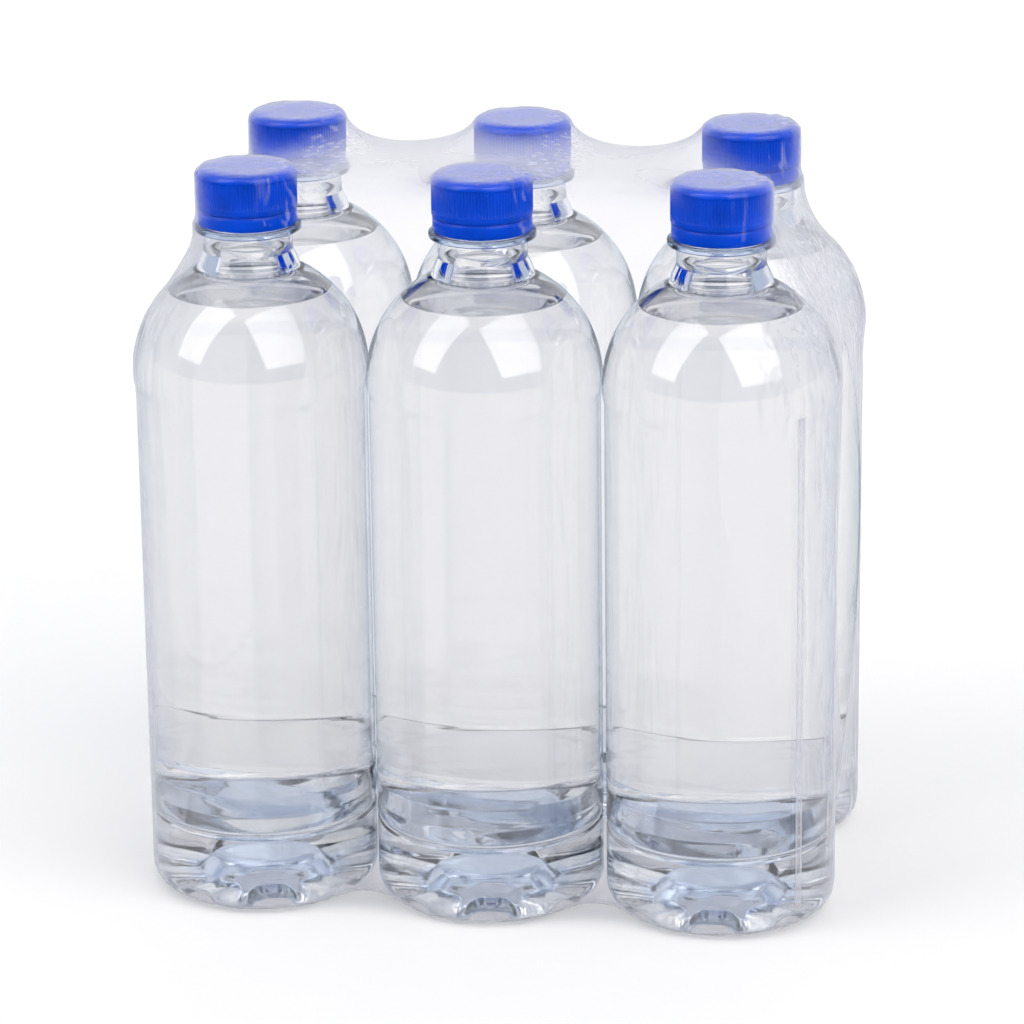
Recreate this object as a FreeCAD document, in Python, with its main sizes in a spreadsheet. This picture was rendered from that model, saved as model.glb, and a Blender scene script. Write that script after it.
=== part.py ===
"""Six clear bottles of still water, two rows of three, held together by a shrunk film sleeve.

Frame: millimetres, +Z up, X along the rows of three, Y across the two rows (front row at -Y),
origin on the underside of the film in the middle of the pack.
"""

import math
import os
import re

import FreeCAD
import Part
import Sketcher

doc = FreeCAD.newDocument("WaterPack")

# ------------------------------------------------------------------ driving dimensions

SIZES = {
    # bottle: blow-moulded shell, heights measured from its own foot
    "bottle_wall": (0.4, "wall of the bottle"),
    "shoulder_radius": (32.6, "widest outside radius, and radius of the domed shoulder"),
    "bead_depth": (0.6, "how much less the radius of the smooth label panel is"),
    "heel_radius": (6.0, "rounding between foot and side"),
    "foot_width": (3.0, "width of the ring that the bottle stands on"),
    "pushup_radius": (9.0, "flat disc in the middle of the raised base"),
    "pushup_height": (8.0, "height of the raised base"),
    "notch_radius": (6.4, "radius of the round notches between the feet"),
    "notch_height": (4.2, "height of the notches above the foot"),
    "groove_low": (23.0, "height of the lowest ring groove"),
    "groove_span": (17.4, "from the lowest ring groove to the highest"),
    "groove_radius": (1.3, "radius of a ring groove's section"),
    "groove_depth": (0.7, "depth of a ring groove"),
    "panel_top": (146.0, "top of the label panel, where the shoulder bead starts"),
    "bead_rise": (1.6, "height of the slope from panel to shoulder bead"),
    "bead_height": (3.4, "height of the straight bead under the dome"),
    "neck_radius": (12.3, "outside radius of the neck and mouth"),
    "neck_fillet": (4.0, "hollow rounding between dome and neck"),
    "neck_straight": (7.13, "straight neck between its hollow rounding and the support ledge"),
    "ledge_width": (2.5, "how far the support ledge stands out from the neck"),
    "ledge_thick": (1.9, "thickness of the support ledge"),
    "ledge_chamfer": (0.5, "chamfer on the ledge's rim"),
    # water
    "head_space": (17.6, "from the water's surface up to the ledge"),
    "water_gap": (0.05, "clearance between the water and the bottle's inside"),
    # cap: moulded shell with a tamper band, heights from its own lower edge
    "cap_wall": (1.45, "thickness of the skirt"),
    "cap_height": (15.3, "height of the cap with its band"),
    "cap_edge": (1.6, "rounding of the cap's top edge"),
    "cap_plate": (1.4, "thickness of the cap's top"),
    "cap_clearance": (0.15, "clearance between the cap and the bottle's mouth"),
    "band_height": (4.0, "height of the smooth tamper band"),
    "band_inset": (0.25, "how much less the band's radius is than the skirt's"),
    "slit_width": (0.4, "width of the break line above the band"),
    "slit_depth": (0.6, "depth of the break line"),
    "hem_height": (1.5, "height of the smooth hem between break line and ribs"),
    "rib_groove": (0.3, "radius of the grooves between the cap's ribs"),
    # pack
    "bottle_spacing": (0.4, "clearance between the bottles of a row"),
    "row_spacing": (1.2, "clearance between the two rows"),
    # film sleeve
    "film_wall": (0.4, "thickness of the film solid"),
    "film_gap": (0.3, "clearance between film and bottles"),
    "seat_gap": (0.05, "clearance under the bottles' feet"),
    "film_leave": (48.0, "angle up the dome at which the film leaves it, in degrees"),
    "film_collar": (2.0, "how far below the ledge the film meets the neck"),
    "saddle_sag": (5.5, "how far the film hangs between the caps"),
    "tent_spread": (14.0, "width of the film's slope from a cap down to the saddle"),
    "window_half_width": (33.0, "half the width of the pointed opening at each end"),
    "window_low": (36.0, "height of that opening's lower point"),
    "window_drop": (34.9, "from the ledge's height down to its upper point"),
}

NOTCHES = 8
GROOVES = 4
CAP_RIBS = 96
COLUMNS = {"left": -1, "middle": 0, "right": 1}
ROWS = {"front": -1, "back": 1}

sheet = doc.addObject("Spreadsheet::Sheet", "Sizes")
for row, (alias, (value, note)) in enumerate(SIZES.items(), start=1):
    sheet.set(f"A{row}", note)
    sheet.set(f"B{row}", str(value))
    sheet.setAlias(f"B{row}", alias)
doc.recompute()


def bound(text):
    """The text of a size or a sum of sizes, with each name pointing into the sheet."""
    return re.sub(r"[a-z][a-z_]+", lambda m: f"Sizes.{m[0]}" if m[0] in SIZES else m[0], str(text))


def value_of(text):
    """What such a text comes to now, as a plain number."""
    result = sheet.evalExpression(bound(text))
    return float(getattr(result, "Value", result))


# Sums of the driving dimensions that several pieces share, bottle heights from its foot
FOOT_Z = "(film_wall + seat_gap)"
PANEL_RADIUS = "(shoulder_radius - bead_depth)"
HEEL_CENTRE = f"({PANEL_RADIUS} - heel_radius)"
FOOT_INNER = f"({HEEL_CENTRE} - foot_width)"
DOME_BASE = "(panel_top + bead_rise + bead_height)"
NECK_CENTRE = (
    "sqrt((shoulder_radius + neck_fillet)^2 - (neck_radius + neck_fillet)^2)"
)
NECK_BASE = f"({DOME_BASE} + {NECK_CENTRE})"
LEDGE_HEIGHT = f"({NECK_BASE} + neck_straight)"
LEDGE_RADIUS = "(neck_radius + ledge_width)"
LEDGE_TOP = f"({LEDGE_HEIGHT} + ledge_thick)"
CAP_BASE = f"({LEDGE_TOP} + cap_clearance)"
CAP_TOP = f"({CAP_BASE} + cap_height)"
CAP_BORE = "(neck_radius + cap_clearance)"
CAP_RADIUS = f"({CAP_BORE} + cap_wall)"
MOUTH_TOP = f"({CAP_TOP} - cap_plate - cap_clearance)"
PITCH_X = "(2 * shoulder_radius + bottle_spacing)"
PITCH_Y = "(2 * shoulder_radius + row_spacing)"
FILM_REST = "(film_wall + film_gap)"


# ------------------------------------------------------------------ sketches


def arc_between(start, end, radius, turn):
    """The shorter arc of that radius from start to end, turning left (1) or right (-1)."""
    chord = end.sub(start)
    side = FreeCAD.Vector(-chord.y, chord.x, 0).normalize() * turn
    reach = math.sqrt(max(radius**2 - (chord.Length / 2) ** 2, 0.0))
    centre = (start.add(end) * 0.5).add(side * reach)
    first, last = (start, end) if turn > 0 else (end, start)
    begin = math.atan2(first.y - centre.y, first.x - centre.x)
    sweep = (math.atan2(last.y - centre.y, last.x - centre.x) - begin) % (2 * math.pi)
    circle = Part.Circle(centre, FreeCAD.Vector(0, 0, 1), radius)
    return Part.ArcOfCircle(circle, begin, begin + sweep)


def draw_outline(sketch, points, arcs=None):
    """Closes an outline through points given as size texts, each tied to the sheet.

    arcs maps the index of a side to (radius text, turn), for the sides that are round.
    """
    arcs = arcs or {}
    corners = [FreeCAD.Vector(value_of(x), value_of(y), 0) for x, y in points]
    count = len(corners)
    for i, start in enumerate(corners):
        end = corners[(i + 1) % count]
        if i in arcs:
            radius, turn = arcs[i]
            sketch.addGeometry(arc_between(start, end, value_of(radius), turn), False)
        else:
            sketch.addGeometry(Part.LineSegment(start, end), False)
    begins = [2 if arcs.get(i, (0, 1))[1] < 0 else 1 for i in range(count)]
    for i in range(count):
        following = (i + 1) % count
        ends = 3 - begins[i]
        sketch.addConstraint(
            Sketcher.Constraint("Coincident", i, ends, following, begins[following])
        )
    for i, (x, y) in enumerate(points):
        for kind, text, number in (("X", x, corners[i].x), ("Y", y, corners[i].y)):
            if text == "0":
                axis = -2 if kind == "X" else -1
                sketch.addConstraint(Sketcher.Constraint("PointOnObject", i, begins[i], axis))
                continue
            rule = Sketcher.Constraint("Distance" + kind, -1, 1, i, begins[i], number)
            place = sketch.addConstraint(rule)
            sketch.setExpression(f"Constraints[{place}]", bound(text))
    for i, (radius, _) in arcs.items():
        place = sketch.addConstraint(Sketcher.Constraint("Radius", i, value_of(radius)))
        sketch.setExpression(f"Constraints[{place}]", bound(radius))


def plane_of(body, role):
    """The body's own origin plane with that role."""
    return next(f for f in body.Origin.OriginFeatures if f.Role == role)


def turned_body(label, points, arcs=None):
    """A body turned about Z from an outline of (radius, height) points."""
    body = doc.addObject("PartDesign::Body", label)
    body.Label = label
    sketch = body.newObject("Sketcher::SketchObject", label + "Outline")
    sketch.AttachmentSupport = [(plane_of(body, "XZ_Plane"), "")]
    sketch.MapMode = "FlatFace"
    draw_outline(sketch, points, arcs)
    turn = body.newObject("PartDesign::Revolution", label + "Turn")
    turn.Profile = sketch
    turn.ReferenceAxis = (sketch, ["V_Axis"])
    turn.Angle = 360.0
    body.Tip = turn
    return body


# ------------------------------------------------------------------ small helpers


def tie(thing, **sizes):
    """Binds properties to the sheet; names use __ for a dot."""
    for name, text in sizes.items():
        thing.setExpression(name.replace("__", "."), bound(text))
    return thing


def tie_place(thing, x="0", y="0", z="0"):
    """Binds where a thing stands."""
    for axis, text in zip("xyz", (x, y, z)):
        if text != "0":
            thing.setExpression(f"Placement.Base.{axis}", bound(text))
    return thing


def fuse(label, things):
    """One solid from several."""
    joined = doc.addObject("Part::MultiFuse", label)
    joined.Shapes = things
    joined.Refine = True
    return joined


def cut(label, base, tool):
    """The base without the tool."""
    rest = doc.addObject("Part::Cut", label)
    rest.Base = base
    rest.Tool = tool
    return rest


def common(label, *things):
    """What the things share."""
    shared = doc.addObject("Part::MultiCommon", label)
    shared.Shapes = list(things)
    return shared


# ------------------------------------------------------------------ bottle and water


def bottle_form(label, inset, top):
    """The bottle's form drawn in by inset, filled, up to the given height.

    Raised base, foot ring, heel, label panel, shoulder bead, dome and neck.
    """
    dome = f"(shoulder_radius - {inset})"
    share = f"({dome} / (shoulder_radius + neck_fillet))"
    points = [
        ("0", f"pushup_height + {inset}"),
        ("pushup_radius", f"pushup_height + {inset}"),
        (FOOT_INNER, inset),
        (HEEL_CENTRE, inset),
        (f"{PANEL_RADIUS} - {inset}", "heel_radius"),
        (f"{PANEL_RADIUS} - {inset}", "panel_top"),
        (dome, "panel_top + bead_rise"),
        (dome, DOME_BASE),
        (f"{share} * (neck_radius + neck_fillet)", f"{DOME_BASE} + {share} * {NECK_CENTRE}"),
        (f"neck_radius - {inset}", NECK_BASE),
        (f"neck_radius - {inset}", top),
        ("0", top),
    ]
    if inset == "0":
        points[2] = (FOOT_INNER, "0")
        points[3] = (HEEL_CENTRE, "0")
    arcs = {
        3: (f"heel_radius - {inset}", 1),
        7: (dome, 1),
        8: (f"neck_fillet + {inset}", -1),
    }
    filled = turned_body(label + "Form", points, arcs)
    return cut(label + "Carved", filled, fuse(label + "Carving", carving(label, inset)))


def carving(label, inset):
    """What the mould presses into the form: ring grooves round the side, notches in the foot."""
    tools = []
    for i in range(GROOVES):
        ring = doc.addObject("Part::Torus", f"{label}Groove{i}")
        tie(ring, Radius1=f"{PANEL_RADIUS} + groove_radius - groove_depth")
        tie(ring, Radius2=f"groove_radius + {inset}")
        tie_place(ring, z=f"groove_low + groove_span * {i} / {GROOVES - 1}")
        tools.append(ring)
    inner_end = f"pushup_radius + ({FOOT_INNER} - pushup_radius) * (1 - notch_height / pushup_height) - 1"
    for i in range(NOTCHES):
        heading = 270 + i * 360 / NOTCHES
        across = FreeCAD.Rotation(FreeCAD.Vector(0, 1, 0), 90)
        facing = FreeCAD.Rotation(FreeCAD.Vector(0, 0, 1), heading)
        notch = doc.addObject("Part::Cylinder", f"{label}Notch{i}")
        tie(notch, Radius=f"notch_radius + {inset}", Height=PANEL_RADIUS)
        notch.Placement = FreeCAD.Placement(FreeCAD.Vector(0, 0, 0), facing.multiply(across))
        tie_place(
            notch,
            x=f"({inner_end}) * cos({heading} deg)",
            y=f"({inner_end}) * sin({heading} deg)",
            z="notch_height - notch_radius",
        )
        tools.append(notch)
    return tools


def make_bottle():
    """The blown bottle: outside form and support ledge, less the inside form."""
    outside = bottle_form("Outside", "0", MOUTH_TOP)
    inside = bottle_form("Inside", "bottle_wall", f"{MOUTH_TOP} + 1")
    ledge = turned_body(
        "Ledge",
        [
            ("neck_radius - bottle_wall / 2", LEDGE_HEIGHT),
            (f"{LEDGE_RADIUS} - ledge_chamfer", LEDGE_HEIGHT),
            (LEDGE_RADIUS, f"{LEDGE_HEIGHT} + ledge_chamfer"),
            (LEDGE_RADIUS, f"{LEDGE_TOP} - ledge_chamfer"),
            (f"{LEDGE_RADIUS} - ledge_chamfer", LEDGE_TOP),
            ("neck_radius - bottle_wall / 2", LEDGE_TOP),
        ],
    )
    shell = cut("BottleShell", outside, inside)
    return fuse("Bottle", [shell, ledge])


def make_water():
    """The water: the bottle's inside, a hair clear of the wall, up to the level."""
    filling = bottle_form("Filling", "(bottle_wall + water_gap)", MOUTH_TOP)
    below = doc.addObject("Part::Cylinder", "BelowLevel")
    tie(below, Radius="2 * shoulder_radius", Height=f"{LEDGE_HEIGHT} - head_space")
    return common("Water", filling, below)


# ------------------------------------------------------------------ cap


def make_cap():
    """The screw cap: plate, ribbed skirt, break line and smooth tamper band, from z = 0."""
    hem = "band_height + slit_width"
    body = turned_body(
        "Cap",
        [
            ("0", "cap_height"),
            (f"{CAP_RADIUS} - cap_edge", "cap_height"),
            (CAP_RADIUS, "cap_height - cap_edge"),
            (CAP_RADIUS, f"{hem} + hem_height"),
            (f"{CAP_RADIUS} - band_inset", f"{hem} + hem_height"),
            (f"{CAP_RADIUS} - band_inset", hem),
            (f"{CAP_RADIUS} - slit_depth", hem),
            (f"{CAP_RADIUS} - slit_depth", "band_height"),
            (f"{CAP_RADIUS} - band_inset", "band_height"),
            (f"{CAP_RADIUS} - band_inset", "0"),
            (CAP_BORE, "0"),
            (CAP_BORE, "cap_height - cap_plate"),
            ("0", "cap_height - cap_plate"),
        ],
        {1: ("cap_edge", -1)},
    )
    groove = body.newObject("Sketcher::SketchObject", "CapGroove")
    groove.AttachmentSupport = [(plane_of(body, "XY_Plane"), "")]
    groove.MapMode = "FlatFace"
    groove.setExpression("AttachmentOffset.Base.z", bound("cap_height - cap_edge"))
    radius = value_of("rib_groove")
    centre = FreeCAD.Vector(value_of(CAP_RADIUS), 0, 0)
    groove.addGeometry(Part.Circle(centre, FreeCAD.Vector(0, 0, 1), radius), False)
    groove.addConstraint(Sketcher.Constraint("PointOnObject", 0, 3, -1))
    place = groove.addConstraint(Sketcher.Constraint("DistanceX", -1, 1, 0, 3, centre.x))
    groove.setExpression(f"Constraints[{place}]", bound(f"{CAP_RADIUS} + rib_groove / 4"))
    place = groove.addConstraint(Sketcher.Constraint("Radius", 0, radius))
    groove.setExpression(f"Constraints[{place}]", bound("rib_groove"))
    pocket = body.newObject("PartDesign::Pocket", "CapFlute")
    pocket.Profile = groove
    pocket.Type = 0
    tie(pocket, Length="cap_height - cap_edge - band_height - slit_width - hem_height")
    pattern = body.newObject("PartDesign::PolarPattern", "CapRibs")
    pattern.Originals = [pocket]
    pattern.Axis = (groove, ["N_Axis"])
    pattern.Angle = 360
    pattern.Occurrences = CAP_RIBS
    body.Tip = pattern
    return body


# ------------------------------------------------------------------ film


def film_hull(label, out):
    """A taut skin `out` from the bottles, filled: one edge outline carried round the pack.

    The outline runs from the foot over the heel, up the sides, over the domes and in to the
    ledges, then up the caps. Each corner turns it about a corner bottle's axis, and each side
    carries it straight to the next corner.
    """
    angle = "film_leave * 1 deg"
    reach = f"(shoulder_radius + {out})"
    collar = f"({LEDGE_RADIUS} + {out})"
    points = [
        ("0", f"{FILM_REST} - {out}"),
        ("shoulder_radius - heel_radius", f"{FILM_REST} - {out}"),
        (reach, f"{FILM_REST} + heel_radius"),
        (reach, f"{FILM_REST} + {DOME_BASE}"),
        (f"{reach} * cos({angle})", f"{FILM_REST} + {DOME_BASE} + {reach} * sin({angle})"),
        (collar, f"{FILM_REST} + {LEDGE_HEIGHT} - film_collar"),
        (collar, f"{FILM_REST} + {LEDGE_TOP}"),
        (f"{CAP_RADIUS} + {out}", f"{FILM_REST} + {LEDGE_TOP} + cap_height / 2"),
        (f"{CAP_RADIUS} + {out}", f"{FILM_REST} + {CAP_TOP} + {out}"),
        ("0", f"{FILM_REST} + {CAP_TOP} + {out}"),
    ]
    if out == "(film_gap + film_wall)":
        points[0] = ("0", "0")
        points[1] = ("shoulder_radius - heel_radius", "0")
    arcs = {1: (f"heel_radius + {out}", 1), 3: (reach, 1)}
    blocks = []
    corners = [(1, -1), (1, 1), (-1, 1), (-1, -1)]
    for i, (across, along) in enumerate(corners):
        outline = doc.addObject("Sketcher::SketchObject", f"{label}Outline{i}")
        upright = FreeCAD.Rotation(FreeCAD.Vector(1, 0, 0), 90)
        facing = FreeCAD.Rotation(FreeCAD.Vector(0, 0, 1), 90 * i)
        outline.Placement = FreeCAD.Placement(FreeCAD.Vector(0, 0, 0), facing.multiply(upright))
        tie_place(outline, x=f"{across} * {PITCH_X}", y=f"{along} * {PITCH_Y} / 2")
        draw_outline(outline, points, arcs)
        side = doc.addObject("Part::Extrusion", f"{label}Side{i}")
        side.Base = outline
        side.DirMode = "Custom"
        side.Dir = facing.multVec(FreeCAD.Vector(0, 1, 0))
        side.Solid = True
        tie(side, LengthFwd=PITCH_Y if i % 2 == 0 else f"2 * {PITCH_X}")
        blocks.append(side)
        bend = doc.addObject("Part::Revolution", f"{label}Corner{i}")
        bend.Source = outline
        bend.Axis = FreeCAD.Vector(0, 0, 1)
        bend.Angle = -90
        bend.Solid = True
        bend.setExpression("Base.x", bound(f"{across} * {PITCH_X}"))
        bend.setExpression("Base.y", bound(f"{along} * {PITCH_Y} / 2"))
        blocks.append(bend)
    core = doc.addObject("Part::Box", f"{label}Core")
    tie(core, Length=f"2 * {PITCH_X}", Width=PITCH_Y)
    tie(core, Height=f"{CAP_TOP} + 2 * {out}")
    tie_place(core, x=f"-{PITCH_X}", y=f"-{PITCH_Y} / 2", z=f"{FILM_REST} - {out}")
    blocks.append(core)
    return fuse(label + "Hull", blocks)


def film_tents(label, out):
    """The space under the film's top: flat at the saddle, rising to a cone over each cap."""
    low = f"({FILM_REST} + {CAP_TOP} - saddle_sag + {out})"
    under = doc.addObject("Part::Box", f"{label}Under")
    tie(under, Length="8 * shoulder_radius", Width="8 * shoulder_radius", Height=f"{low} + 10")
    tie_place(under, x="-4 * shoulder_radius", y="-4 * shoulder_radius", z="-10")
    spaces = [under]
    for row, along in ROWS.items():
        for column, across in COLUMNS.items():
            cone = doc.addObject("Part::Cone", f"{label}Tent_{row}_{column}")
            tie(cone, Radius1=f"{CAP_RADIUS} - cap_edge + {out} + tent_spread * 1.1")
            tie(cone, Radius2=f"{CAP_RADIUS} - cap_edge + {out} - tent_spread * 0.1")
            tie(cone, Height="saddle_sag * 1.2")
            tie_place(
                cone,
                x=f"{across} * {PITCH_X}",
                y=f"{along} * {PITCH_Y} / 2",
                z=f"{low} - saddle_sag * 0.1",
            )
            spaces.append(cone)
    return fuse(label + "Tents", spaces)


def film_skin(label, out):
    """The filled form that the film's surface encloses, `out` from the bottles."""
    return common(label + "Skin", film_hull(label, out), film_tents(label, out))


def make_film():
    """The shrunk sleeve: outer skin less inner skin, with a pointed opening at each end."""
    outer = film_skin("FilmOuter", "(film_gap + film_wall)")
    inner = film_skin("FilmInner", "film_gap")
    shell = cut("FilmShell", outer, inner)
    window = doc.addObject("Sketcher::SketchObject", "WindowOutline")
    facing = FreeCAD.Rotation(FreeCAD.Vector(0, 0, 1), FreeCAD.Vector(1, 0, 0))
    upright = FreeCAD.Rotation(FreeCAD.Vector(1, 1, 1), 120)
    window.Placement = FreeCAD.Placement(FreeCAD.Vector(0, 0, 0), upright)
    tie_place(window, x="-4 * shoulder_radius")
    high = f"({LEDGE_HEIGHT} - window_drop)"
    half = f"(({high} - window_low) / 2)"
    bow = f"(({half}^2 + window_half_width^2) / (2 * window_half_width))"
    draw_outline(window, [("0", "window_low"), ("0", high)], {0: (bow, 1), 1: (bow, 1)})
    opening = doc.addObject("Part::Extrusion", "Window")
    opening.Base = window
    opening.DirMode = "Custom"
    opening.Dir = FreeCAD.Vector(1, 0, 0)
    opening.Solid = True
    tie(opening, LengthFwd="8 * shoulder_radius")
    return cut("ShrinkFilm", shell, opening)


# ------------------------------------------------------------------ the pack

bottle = make_bottle()
water = make_water()
cap = make_cap()
film = make_film()
doc.recompute()

nodes = {}


def stand(name, piece, x, y, z):
    """One more of a piece, standing in the pack."""
    link = doc.addObject("App::Link", name)
    link.LinkedObject = piece
    link.Label = name
    tie_place(link, x=x, y=y, z=z)
    nodes[name] = link


for row, along in ROWS.items():
    for column, across in COLUMNS.items():
        x = f"{across} * {PITCH_X}"
        y = f"{along} * {PITCH_Y} / 2"
        stand(f"bottle_{row}_{column}", bottle, x, y, FOOT_Z)
        stand(f"water_{row}_{column}", water, x, y, FOOT_Z)
        stand(f"cap_{row}_{column}", cap, x, y, f"{FOOT_Z} + {CAP_BASE}")
film.Label = "shrink_film"
nodes["shrink_film"] = film
doc.recompute()

for thing in doc.Objects:
    if {"Invalid", "Error"} & set(thing.State):
        raise RuntimeError(f"{thing.Label} didn't build: {thing.State}")

os.makedirs("parts", exist_ok=True)
for name, thing in nodes.items():
    shape = Part.getShape(thing)
    if shape.isNull() or not shape.isValid() or len(shape.Solids) != 1:
        raise RuntimeError(f"{name} isn't one valid solid")
    shape.exportStep(f"parts/{name}.step")
    print(name, round(shape.Volume / 1000, 2), "ml", shape.BoundBox)
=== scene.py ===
"""Six clear bottles of still water in a shrunk film sleeve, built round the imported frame.

Frame: metres, +Z up, X along the rows of three, Y across the two rows (front row at -Y),
origin on the underside of the film in the middle of the pack. A heading is an angle about +Z
from +X, so the front row faces heading 270 degrees.
"""

import math

import bmesh
import bpy
import numpy as np
from bpy.props import FloatProperty, FloatVectorProperty, IntProperty, PointerProperty
from mathutils import Matrix, Vector


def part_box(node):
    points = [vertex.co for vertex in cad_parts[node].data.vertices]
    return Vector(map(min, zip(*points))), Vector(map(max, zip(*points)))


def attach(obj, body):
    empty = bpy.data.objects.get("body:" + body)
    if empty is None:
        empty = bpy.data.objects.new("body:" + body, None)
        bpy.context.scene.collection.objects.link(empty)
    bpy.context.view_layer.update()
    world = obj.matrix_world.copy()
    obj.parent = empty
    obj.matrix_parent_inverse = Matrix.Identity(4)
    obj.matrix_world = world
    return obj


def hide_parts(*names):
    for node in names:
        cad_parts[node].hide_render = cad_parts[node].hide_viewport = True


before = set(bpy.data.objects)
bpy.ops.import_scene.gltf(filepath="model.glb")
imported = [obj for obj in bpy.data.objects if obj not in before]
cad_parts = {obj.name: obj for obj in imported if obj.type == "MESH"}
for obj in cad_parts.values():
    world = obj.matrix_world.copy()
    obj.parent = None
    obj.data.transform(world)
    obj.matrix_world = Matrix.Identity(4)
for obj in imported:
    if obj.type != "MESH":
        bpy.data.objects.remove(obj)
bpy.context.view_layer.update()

bl_info = {
    "name": "Pack of water bottles",
    "version": (1, 0, 0),
    "blender": (4, 5, 0),
    "location": "View3D > Sidebar > Water Pack",
    "description": "Six clear bottles of water with blue caps in a shrunk film sleeve",
    "category": "Add Mesh",
}

MM = 0.001
COLUMNS = ("left", "middle", "right")
ROWS = ("front", "back")
PLACES = [f"{row}_{column}" for row in ROWS for column in COLUMNS]


# ------------------------------------------------------------------ what the frame says


def stand(place):
    """Where a bottle's axis stands and how high its foot is."""
    low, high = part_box(f"bottle_{place}")
    return Vector(((low.x + high.x) / 2, (low.y + high.y) / 2, low.z))


FIRST = PLACES[0]
FOOT = stand(FIRST).z
BOTTLE_LOW, BOTTLE_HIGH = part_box(f"bottle_{FIRST}")
CAP_LOW, CAP_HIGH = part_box(f"cap_{FIRST}")
WATER_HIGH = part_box(f"water_{FIRST}")[1]
FILM_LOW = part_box("shrink_film")[0]
BOTTLE_RADIUS = (BOTTLE_HIGH.x - BOTTLE_LOW.x) / 2
CAP_RADIUS = (CAP_HIGH.x - CAP_LOW.x) / 2
CAP_HEIGHT = CAP_HIGH.z - CAP_LOW.z
MOUTH_HEIGHT = BOTTLE_HIGH.z - FOOT
CAP_BASE = CAP_LOW.z - FOOT
WATER_HEIGHT = WATER_HIGH.z - FOOT
# Above this height the film spans from cap to cap
WEB = CAP_LOW.z + 2 * MM

# How far each bottle is turned in the pack, in degrees
TURNS = {
    "front_left": 16.3,
    "front_middle": 9.0,
    "front_right": 2.9,
    "back_left": 21.0,
    "back_middle": -7.0,
    "back_right": 12.0,
}
# Faces round a bottle and its water
ROUND = 192
# Less than any real distance between two vertices
TINY = 1e-6
# Share of the way across the welded seam, and the haze there
SEAM_MILK = ((0.0, 0.3), (0.16, 0.42), (0.34, 0.16), (0.66, 0.16), (0.84, 0.42), (1.0, 0.3))
# Turn of each softbox from the camera towards the right, and its half-width, in degrees
SOFTBOXES = ((-64, 15), (39, 23))


# ------------------------------------------------------------------ settings


def length(name, millimetres, description):
    """A length property with its default in millimetres."""
    return FloatProperty(
        name=name, description=description, default=millimetres * MM, unit="LENGTH", precision=5
    )


def angle(name, degrees, description):
    """An angle property with its default in degrees."""
    return FloatProperty(
        name=name, description=description, default=math.radians(degrees), subtype="ANGLE"
    )


def share(name, default, description):
    """A plain number from 0 to 1."""
    return FloatProperty(name=name, description=description, default=default, min=0.0, max=1.0)


def linear(code):
    """Linear red, green and blue of an sRGB hex colour."""
    parts = [int(code[i : i + 2], 16) / 255 for i in (0, 2, 4)]
    return [p / 12.92 if p <= 0.04045 else ((p + 0.055) / 1.055) ** 2.4 for p in parts]


def colour(name, code, description):
    """A colour property with its default as an sRGB hex value."""
    return FloatVectorProperty(
        name=name, description=description, default=linear(code), subtype="COLOR", min=0, max=1
    )


class BottleSettings(bpy.types.PropertyGroup):
    """Sizes of a bottle, heights from its foot, and the tints of its plastic, the edge tint partly
    painted shade.
    """

    wall: length("Wall", 0.4, "Wall of the body")
    neck_wall: length("Neck wall", 0.6, "Wall of the neck, which isn't blown")
    bead_depth: length("Bead depth", 0.6, "How much less the panel's radius is")
    heel: length("Heel", 6.0, "Rounding between foot and side")
    foot_width: length("Foot width", 3.0, "Width of the ring that the bottle stands on")
    pushup_radius: length("Push-up radius", 10.2, "Middle disc of the raised base")
    pushup_skirt: length("Push-up skirt", 16.0, "Where its steep side ends")
    pushup_height: length("Push-up height", 8.0, "Height of the raised base")
    notch_width: length("Notch width", 12.6, "Width of the hollows between the feet")
    notch_height: length("Notch height", 3.6, "Height of the hollows between the feet")
    notches: IntProperty(name="Notches", description="Hollows round the foot", default=8)
    groove_low: length("Lowest groove", 23.4, "Height of the lowest ring groove")
    groove_span: length("Groove span", 17.4, "From the lowest ring groove to the highest")
    groove_width: length("Groove width", 2.9, "Width of a ring groove with its soft lips")
    groove_depth: length("Groove depth", 0.7, "Depth of the lowest ring groove")
    groove_faint: length("Faint groove depth", 0.03, "Depth of the ring grooves above it")
    grooves: IntProperty(name="Grooves", description="Ring grooves", default=4)
    panel_top: length("Panel top", 146.0, "Where the slope to the shoulder bead starts")
    bead_rise: length("Bead rise", 3.2, "Height of that slope")
    bead_height: length("Bead height", 1.8, "Height of the straight bead under the dome")
    neck_fillet: length("Neck fillet", 4.0, "Hollow rounding between dome and neck")
    ledge_reach: length("Ledge reach", 2.5, "How far the support ledge stands out")
    ledge_thick: length("Ledge thickness", 1.9, "Thickness of the support ledge")
    cap_clearance: length("Cap clearance", 0.15, "From the ledge up to the cap")
    neck_radius: length("Neck radius", 12.3, "Outside radius of the neck")
    clear: colour("Clear plastic", "FDFDFD", "Plastic seen straight on")
    # The edge tint is the plastic's faint blue along the wall, deepened to paint the shade at the
    # bottles' edges
    edge: colour("Plastic edge", "C4D2E0", "Plastic seen along its wall")
    thick: colour("Thick plastic", "DEEAFA", "Plastic in the thick middle of the base")
    shade: share("Shade", 0.96, "Light that one face lets through to the floor")


class WaterSettings(bpy.types.PropertyGroup):
    """The filling."""

    reach: length("Reach", 0.2, "How far the water reaches into the wall, so no air shows")
    meniscus: length("Meniscus", 1.1, "How far the water climbs at the wall")
    clear: colour("Water", "FFFFFF", "Water seen straight on")
    shade: share("Shade", 0.97, "Light that one face lets through to the floor")


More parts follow.
